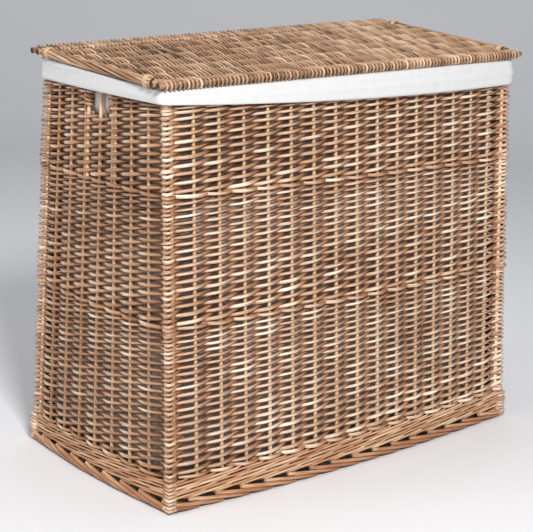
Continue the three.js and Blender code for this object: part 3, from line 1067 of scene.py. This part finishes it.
def addUprights():
    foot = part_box("foot_border")[0].z + uprights["footGap"]
    rimLow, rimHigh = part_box("upper_siding")[1].z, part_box("front_stakes_and_rim")[1].z
    places = stakePlaces()
    stakeEnd = rimHigh - uprights["topGap"]
    values = {"Rods": len(places), "Low": foot, "High": stakeEnd, "Material": finishes["stake"]}
    stakes = grow("stakes", uprightRods, values, wallCarrier("stakeFeet", places))
    values = {
        "Rows": rim["rows"],
        "Low": rimLow + rim["lift"],
        "Row height": rim["rowHeight"],
        "Radius": rim["radius"],
        "Material": finishes["stake"],
    }
    turnedDown = grow("rimBorder", waleRods, values, stakeLine)
    sides = ("front", "back", "left", "right")
    settle(stakes, "basket", "willow_stake", *[f"{side}_stakes_and_rim" for side in sides])
    settle(turnedDown, "basket", "willow_stake")
    places = postPlaces()
    values = {
        "Rods": len(places),
        "Low": uprights["postFoot"],
        "High": stakeEnd,
        "Radius": uprights["postRadius"],
        "Seed": 4,
        "Material": finishes["stake"],
    }
    posts = grow("cornerPosts", uprightRods, values, wallCarrier("postFeet", places))
    corners = ("front_left", "front_right", "back_left", "back_right")
    settle(posts, "basket", "willow_stake", *[f"corner_post_{corner}" for corner in corners])
    places = handleStakePlaces()
    values = {
        "Rods": len(places),
        "Low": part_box("upper_siding")[0].z,
        "High": rimLow,
        "Seed": 6,
        "Material": finishes["stake"],
    }
    doubled = grow("handleStakes", uprightRods, values, wallCarrier("handleFeet", places))
    names = [f"handle_stake_{side}_{end}" for side in ("left", "right") for end in ("front", "back")]
    settle(doubled, "basket", "willow_stake", *names)


handleWraps = {
    "low": 0.5225,
    "high": 0.5565,
    "turns": 5.0,
    "radius": 0.0022,
    "halfThrough": 0.0050,
    "halfAcross": 0.0056,
    "inwards": 0.0002,
}


def addHandleWraps():
    # the weavers turn back round the doubled stakes at the sides of each hole
    coils = []
    middle = (handleWraps["low"] + handleWraps["high"]) / 2
    pitch = (handleWraps["high"] - handleWraps["low"]) / handleWraps["turns"]
    for x, y, outward in handleStakePlaces():
        centre = wallAt(x, y, middle)
        advance = wallAt(x, y, middle + pitch) - centre
        centre.y += math.copysign(handleWraps["inwards"], -y)
        through = outward * handleWraps["halfThrough"]
        coils.append((centre, through, Vector((0, handleWraps["halfAcross"], 0)), advance))
    values = {
        "Coils": len(coils),
        "Turns": handleWraps["turns"],
        "Points": 81,
        "Radius": handleWraps["radius"],
        "Material": finishes["weave"],
    }
    wraps = grow("handleWraps", coilRods, values, coilCarrier("handleTurns", coils))
    settle(wraps, "basket", "willow_weave")


footWraps = {
    "turns": 8,
    "low": 0.0030,
    "pitch": 0.0026,
    "radius": 0.0025,
    "reach": 0.0058,
}


def addFoot():
    low, high = bandHeights("upsett_wale")
    rows = round((high - low) / wale["rowHeight"])
    values = {
        "Rows": rows,
        "Low": low + wale["radius"],
        "Row height": (high - low - wale["radius"]) / rows,
        "Material": finishes["foot"],
    }
    upsett = grow("upsettWale", waleRods, values, stakeLine)
    settle(upsett, "basket", "willow_foot", "upsett_wale")
    foot = grow("footBorder", borderRods, {"Material": finishes["foot"]}, stakeLine)
    settle(foot, "basket", "willow_foot", "foot_border")
    values = {
        "Rods": 4 * footWraps["turns"],
        "Points": siding["wrapPoints"],
        "Low": footWraps["low"],
        "High": high,
        "Foot pitch": footWraps["pitch"],
        "Top pitch": footWraps["pitch"],
        "Foot radius": footWraps["radius"],
        "Top radius": footWraps["radius"],
        "Stake radius": footWraps["reach"],
        "Material": finishes["weave"],
        "Seed": 77,
    }
    wraps = grow("footCornerWraps", cornerWraps, values, stakeLine)
    settle(wraps, "basket", "willow_weave")


base = {
    "rowPitch": 0.0046,
    "rodRadius": 0.0024,
    "sideGap": 0.0205,
    "endGap": 0.022,
    "swingOver": 0.0018,
}


def addBase():
    low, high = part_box("base_weave")
    middle = (low.z + high.z) / 2
    sticks = [f"base_stick_{number}" for number in range(1, 9)]
    centres = [(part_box(name)[0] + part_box(name)[1]) / 2 for name in sticks]
    pitch = (centres[1] - centres[0]).y
    radius = (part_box(sticks[0])[1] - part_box(sticks[0])[0]).z / 2
    values = {
        "Rods": len(sticks),
        "Half length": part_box(sticks[0])[1].x,
        "Radius": radius,
        "Material": finishes["stake"],
    }
    piece = grow("baseSticks", stickRods, values, pointCarrier("baseStickPlaces", centres))
    settle(piece, "basket", "willow_stake", *sticks)
    halfRun = plan["depth"] / 2 - base["sideGap"]
    values = {
        "Rows": math.floor(2 * (plan["length"] / 2 - base["endGap"]) / base["rowPitch"]),
        "Pitch": base["rowPitch"],
        "Run points": 49,
        "Turn points": 0,
        "Half run": halfRun,
        "Half weave": halfRun,
        "First stick": pitch / 2,
        "Stick pitch": pitch,
        "Swing": radius + base["swingOver"],
        "Middle": middle,
        "Radius": base["rodRadius"],
        "Seed": 9,
        "Material": finishes["weave"],
    }
    weave = grow("baseWeave", flatRods, values)
    settle(weave, "basket", "willow_weave", "base_weave")


lid = {
    "rowPitch": 0.0034,
    "rodRadius": 0.00156,
    "swing": 0.0040,
    "endBare": 0.0040,
    "edgeRadius": 0.0042,
    "stickRadius": 0.0027,
    "stickBare": 0.003,
    "bindRadius": 0.0015,
    "bindPitch": 0.0028,
    "bindNarrow": 0.001,
    "bindProud": 0.0006,
    "bindLoose": 0.004,
    "bindTurns": 3.0,
}


def addLid():
    low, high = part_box("lid_weave")
    middle = (low.z + high.z) / 2
    edges = [f"lid_edge_stick_{side}" for side in ("front_outer", "front_inner", "back_inner", "back_outer")]
    inner = [f"lid_stick_{number}" for number in range(1, 7)]

    def centresOf(names):
        return [(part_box(name)[0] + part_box(name)[1]) / 2 for name in names]

    edgeCentres, innerCentres = centresOf(edges), centresOf(inner)
    stickPitch = (innerCentres[1] - innerCentres[0]).y
    values = {
        "Rods": len(edges),
        "Half length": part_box(edges[0])[1].x,
        "Radius": lid["edgeRadius"],
        "Tilt": 1.0,
        "Material": finishes["lid"],
        "Seed": 2,
    }
    edgeSticks = grow("lidEdgeSticks", stickRods, values, pointCarrier("edgePlaces", edgeCentres))
    settle(edgeSticks, "lid", "willow_stake", *edges)
    values["Rods"] = len(inner)
    values["Half length"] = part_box(inner[0])[1].x - lid["stickBare"]
    values["Radius"] = lid["stickRadius"]
    values["Seed"] = 3
    innerSticks = grow("lidSticks", stickRods, values, pointCarrier("stickPlaces", innerCentres))
    settle(innerSticks, "lid", "willow_stake", *inner)
    values = {
        "Rows": 2 * math.floor((high.x - lid["endBare"]) / lid["rowPitch"]),
        "Pitch": lid["rowPitch"],
        "Radius": lid["rodRadius"],
        "Swing": lid["swing"],
        "Half run": edgeCentres[3].y,
        "Half weave": innerCentres[5].y + stickPitch,
        "First stick": stickPitch / 2,
        "Stick pitch": stickPitch,
        "Middle": middle,
        "Tilt": 1.0,
        "Material": finishes["lid"],
        "Seed": 8,
    }
    weave = grow("lidWeave", flatRods, values)
    settle(weave, "lid", "willow_lid", "lid_weave")
    print("lid weave", len(weave.data.polygons), "faces")
    ends = grow("lidEndRods", endRods, {"Middle": middle, "Material": finishes["lid"]})
    settle(ends, "lid", "willow_lid")


def addBinds():
    binds = [f"lid_bind_{corner}" for corner in ("front_left", "front_right", "back_left", "back_right")]
    coils = []
    for name in binds:
        boxLow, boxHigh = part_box(name)
        centre = (boxLow + boxHigh) / 2
        centre.z += tiltAt(centre.x, centre.y)
        half = (boxHigh - boxLow) / 2
        wide = Vector((half.x - lid["bindNarrow"], 0, 0))
        tall = Vector((0, 0, half.z + lid["bindProud"]))
        coils.append((centre, wide, tall, Vector((0, lid["bindPitch"], 0))))
    values = {
        "Coils": len(coils),
        "Turns": lid["bindTurns"],
        "Points": 61,
        "Radius": lid["bindRadius"],
        "Roughness": lid["bindLoose"],
        "Material": finishes["binding"],
    }
    piece = grow("lidBinds", coilRods, values, coilCarrier("bindPlaces", coils))
    settle(piece, "lid", "willow_binding", *binds)


hingeLoops = {
    "turns": 3.0,
    "radius": 0.0014,
    "pitch": 0.0029,
    "over": 0.0062,
    "halfAcross": 0.0066,
}


def addHingeLoops():
    # two loops of split willow that hold the lid's back stick to the rim
    hinge = frame["joints"][0]
    stick = Vector(hinge["pos_m"])
    coils = []
    names = ("hinge_loop_left", "hinge_loop_right")
    for name in names:
        low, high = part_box(name)
        centre = (low + high) / 2
        reach = Vector((0, stick.y - centre.y, stick.z - centre.z))
        side = Vector((0, -reach.z, reach.y)).normalized()
        centre.z += tiltAt(centre.x, stick.y)
        longHalf = reach + reach.normalized() * hingeLoops["over"]
        shortHalf = side * hingeLoops["halfAcross"]
        coils.append((centre, longHalf, shortHalf, Vector((hingeLoops["pitch"], 0, 0))))
    values = {
        "Coils": len(coils),
        "Turns": hingeLoops["turns"],
        "Points": 73,
        "Radius": hingeLoops["radius"],
        "Material": finishes["binding"],
    }
    piece = grow("hingeLoops", coilRods, values, coilCarrier("loopPlaces", coils))
    settle(piece, "basket", "willow_binding", *names)


addUprights()
addHandleWraps()
addFoot()
addBase()
addLid()
addBinds()
addHingeLoops()
print("willow is woven")


# liner

liner = {
    "thickness": 0.0012,
    "proud": 0.0022,
    "backReach": -0.0004,
    "bagInset": 0.0222,
    "cuffCorner": 0.013,
    "bagCorner": 0.016,
    "floorReach": 0.15,
    "cuffRows": 12,
    "bagRows": 30,
    "hemDepth": 0.0085,
    "hemAtCorners": (0.5489, 0.5435, 0.5480, 0.5530),
    "holeHalf": 0.0285,
    "holeLow": 0.521,
    "holeHigh": 0.563,
    "holeBulge": 0.009,
    "frontSag": 0.0065,
    "otherSag": 0.0030,
}


def hemHeight(x, y):
    # the hem hangs from its corners and sags between them
    across = x / (plan["lengthAtTop"] / 2) * 0.5 + 0.5
    deep = y / (plan["depthAtTop"] / 2) * 0.5 + 0.5
    frontLeft, frontRight, backRight, backLeft = liner["hemAtCorners"]
    level = mix(mix(frontLeft, frontRight, across), mix(backLeft, backRight, across), deep)
    spread = 4 * max(across * (1 - across), 0)
    sag = liner["frontSag"] if y < 0 else liner["otherSag"]
    return level - sag * spread


def softNoise(u, v, seed):
    return noise.noise(Vector((u, v, seed)))


def linerRows():
    # rows of points from the hem up the cuff, over the rim and down into the bag
    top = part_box("liner")[1].z - liner["thickness"] / 2
    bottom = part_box("liner")[0].z + liner["thickness"] / 2
    outer = planLoop(-liner["proud"], liner["cuffCorner"])
    inner = planLoop(liner["bagInset"], liner["bagCorner"])
    run = 0
    runs = []
    for index, point in enumerate(outer):
        runs.append(run)
        following = outer[(index + 1) % len(outer)]
        run += math.hypot(following[0] - point[0], following[1] - point[1])
    rows = []
    cuffRows = liner["cuffRows"]
    for row in range(cuffRows + 1):
        share = row / cuffRows
        ring = []
        for (x, y, outward, gap), along in zip(outer, runs):
            above = leanPoint(x, y, top)
            topZ = top + tiltAt(above.x, above.y)
            lowZ = hemHeight(above.x, above.y)
            z = mix(lowZ, topZ, share)
            place = leanPoint(x, y, mix(lowZ, top, share))
            billow = softNoise(along * 4, share * 1.3, 2) * 0.0012
            billow += softNoise(along * 2.1, share * 5.2, 7) * 0.0009
            crease = softNoise(along * 1.3, z * 150, 11) * 0.0005
            hem = 0.0007 if z - lowZ < liner["hemDepth"] else 0
            swell = math.sin(share * math.pi) * 0.0012
            reach = billow * min(1, share * 2 + 0.3) + crease + hem + swell + 0.0006
            # the open lid comes down close behind the back cuff, so that side lies flat
            place += outward * (min(reach, liner["backReach"]) if outward.y > 0.9 else reach)
            place.z = z
            ring.append(place)
        rows.append(ring)
    for across in (0.12, 0.35, 0.65, 0.88):
        ring = []
        for (x1, y1, outward, gap), (x2, y2, _, _) in zip(outer, inner):
            place = leanPoint(mix(x1, x2, across), mix(y1, y2, across), top)
            place.z = top + tiltAt(place.x, place.y) + 0.0006 * math.sin(across * math.pi)
            ring.append(place)
        rows.append(ring)
    bagRows = liner["bagRows"]
    for row in range(bagRows + 1):
        share = row / bagRows
        level = mix(top - 0.002, bottom, share)
        ring = []
        for (x, y, outward, gap), along in zip(inner, runs):
            place = leanPoint(x, y, level)
            place.z += tiltAt(place.x, place.y) * easeShare(level, tilt["from"], tilt["to"])
            fold = softNoise(along * 11, share * 1.5, 21) * 0.6
            fold += softNoise(along * 26, share * 3.5, 31) * 0.4
            depth = 0.0045 * math.sin(min(share * 1.15, 1) * math.pi) + 0.0012
            place -= outward * (fold + 0.6) * depth
            atHole = abs(outward.x) > 0.9 and abs(place.y) < liner["holeHalf"]
            if atHole and liner["holeLow"] < level < liner["holeHigh"]:
                place += outward * liner["holeBulge"]
            ring.append(place)
        rows.append(ring)
    return rows, runs


def addLiner():
    rows, runs = linerRows()
    mesh = bmesh.new()
    uv = mesh.loops.layers.uv.new("cloth")
    grid = [[mesh.verts.new(place) for place in ring] for ring in rows]
    heights = [0.0]
    for lower, upper in zip(rows, rows[1:]):
        heights.append(heights[-1] + (upper[3] - lower[3]).length)
    count = len(runs)
    for row in range(len(grid) - 1):
        for index in range(count):
            other = (index + 1) % count
            corners = ((row, index), (row, other), (row + 1, other), (row + 1, index))
            face = mesh.faces.new([grid[r][i] for r, i in corners])
            for loop, (r, i) in zip(face.loops, corners):
                across = runs[i] if i or index == 0 else runs[-1] + runs[1]
                loop[uv].uv = (across, heights[r])
    # the bag's floor, in rings towards the middle
    ring = grid[-1]
    middle = Vector((0, 0, rows[-1][0].z))
    edge = [vertex.co.copy() for vertex in ring]
    for scale in (0.8, 0.6, 0.4, 0.2, 0.05):
        following = [mesh.verts.new(middle + (place - middle) * scale) for place in edge]
        for index in range(count):
            other = (index + 1) % count
            face = mesh.faces.new((ring[index], ring[other], following[other], following[index]))
            for loop in face.loops:
                loop[uv].uv = (loop.vert.co.x, loop.vert.co.y)
        ring = following
    face = mesh.faces.new(ring)
    for loop in face.loops:
        loop[uv].uv = (loop.vert.co.x, loop.vert.co.y)
    for face in mesh.faces:
        face.smooth = True
    area = sum(face.calc_area() for face in mesh.faces)
    data = bpy.data.meshes.new("liner")
    mesh.to_mesh(data)
    mesh.free()
    piece = bpy.data.objects.new("cottonLiner", data)
    bpy.context.scene.collection.objects.link(piece)
    data.materials.append(finishes["cotton"])
    solid = piece.modifiers.new("thickness", "SOLIDIFY")
    solid.thickness = liner["thickness"]
    solid.offset = 0
    settle(piece, "basket", "cotton", "liner")
    width = runs[-1] + (runs[1] - runs[0])


addLiner()


# camera, floor and light

camera = {
    "place": (-1.3813, -1.5936, 0.7829),
    "yaw": 41.1,
    "pitch": 13.58,
    "roll": 2.0,
    "lens": 95.04,
    "shift": (-0.0368, -0.0126),
}


def addCamera():
    yaw, pitch, roll = (math.radians(camera[key]) for key in ("yaw", "pitch", "roll"))
    ahead = Vector((math.sin(yaw) * math.cos(pitch), math.cos(yaw) * math.cos(pitch), -math.sin(pitch)))
    right = ahead.cross(Vector((0, 0, 1))).normalized()
    up = right.cross(ahead)
    turnedRight = right * math.cos(roll) + up * math.sin(roll)
    turnedUp = up * math.cos(roll) - right * math.sin(roll)
    data = bpy.data.cameras.new("camera")
    data.lens = camera["lens"]
    data.sensor_width = 36
    data.shift_x, data.shift_y = camera["shift"]
    item = bpy.data.objects.new("camera", data)
    bpy.context.scene.collection.objects.link(item)
    turn = Matrix((turnedRight, turnedUp, -ahead)).transposed()
    item.matrix_world = Matrix.Translation(camera["place"]) @ turn.to_4x4()
    bpy.context.scene.camera = item


studio = {
    "key": {"place": (-1.25, -2.42, 2.15), "size": 0.6, "power": 84},
    "fill": {"place": (-2.6, 0.4, 1.4), "size": 1.6, "power": 15},
    "top": {"place": (0.2, 0.4, 2.6), "size": 1.6, "power": 9},
    "world": 0.30,
    "sky": (0.93, 0.95, 1.0, 1.0),
    "aim": (0, 0, 0.3),
    "backdrop": (0.80, 0.81, 0.83, 1.0),
}


backdrop = {
    "near": 4.0,
    "far": 2.6,
    "bend": 1.2,
    "height": 4.0,
    "half": 7.0,
    "steps": 12,
    "paper": (0.78, 0.78, 0.79, 1),
}


def backdropMesh():
    # pale paper that runs along the floor and bends up behind the hamper
    profile = [(-backdrop["near"], 0.0)]
    for step in range(backdrop["steps"] + 1):
        angle = step / backdrop["steps"] * math.pi / 2
        along = backdrop["far"] + backdrop["bend"] * math.sin(angle)
        profile.append((along, backdrop["bend"] * (1 - math.cos(angle))))
    profile.append((backdrop["far"] + backdrop["bend"], backdrop["height"]))
    turn = Matrix.Rotation(-math.radians(camera["yaw"]), 3, "Z")
    places = [turn @ Vector((side * backdrop["half"], y, z)) for y, z in profile for side in (-1, 1)]
    faces = [(2 * row, 2 * row + 1, 2 * row + 3, 2 * row + 2) for row in range(len(profile) - 1)]
    mesh = bpy.data.meshes.new("backdrop")
    mesh.from_pydata(places, [], faces)
    for face in mesh.polygons:
        face.use_smooth = True
    material = bpy.data.materials.new("palePaper")
    material.use_nodes = True
    shader = material.node_tree.nodes["Principled BSDF"]
    shader.inputs["Base Color"].default_value = backdrop["paper"]
    shader.inputs["Roughness"].default_value = 0.9
    mesh.materials.append(material)
    return mesh


def addStudio():
    bpy.context.scene.view_settings.view_transform = "Standard"
    bpy.context.scene.view_settings.look = "Medium High Contrast"
    for name in ("key", "fill", "top"):
        values = studio[name]
        data = bpy.data.lights.new(name, "AREA")
        data.size = values["size"]
        data.energy = values["power"]
        lamp = bpy.data.objects.new(name, data)
        bpy.context.scene.collection.objects.link(lamp)
        lamp.location = values["place"]
        aim = Vector(studio["aim"]) - Vector(values["place"])
        lamp.rotation_euler = aim.to_track_quat("-Z", "Y").to_euler()
    world = bpy.data.worlds.new("studio")
    world.use_nodes = True
    background = world.node_tree.nodes["Background"]
    background.inputs["Color"].default_value = studio["sky"]
    background.inputs["Strength"].default_value = studio["world"]
    # the camera sees a paler backdrop than the one that lights the hamper
    seen = world.node_tree.nodes.new("ShaderNodeBackground")
    seen.inputs["Color"].default_value = studio["backdrop"]
    rays = world.node_tree.nodes.new("ShaderNodeLightPath")
    choice = world.node_tree.nodes.new("ShaderNodeMixShader")
    world.node_tree.links.new(rays.outputs["Is Camera Ray"], choice.inputs[0])
    world.node_tree.links.new(background.outputs[0], choice.inputs[1])
    world.node_tree.links.new(seen.outputs[0], choice.inputs[2])
    world.node_tree.links.new(choice.outputs[0], world.node_tree.nodes["World Output"].inputs["Surface"])
    bpy.context.scene.world = world
    floor = bpy.data.objects.new("floor", backdropMesh())
    bpy.context.scene.collection.objects.link(floor)


addCamera()
addStudio()
print("camera and light are set")
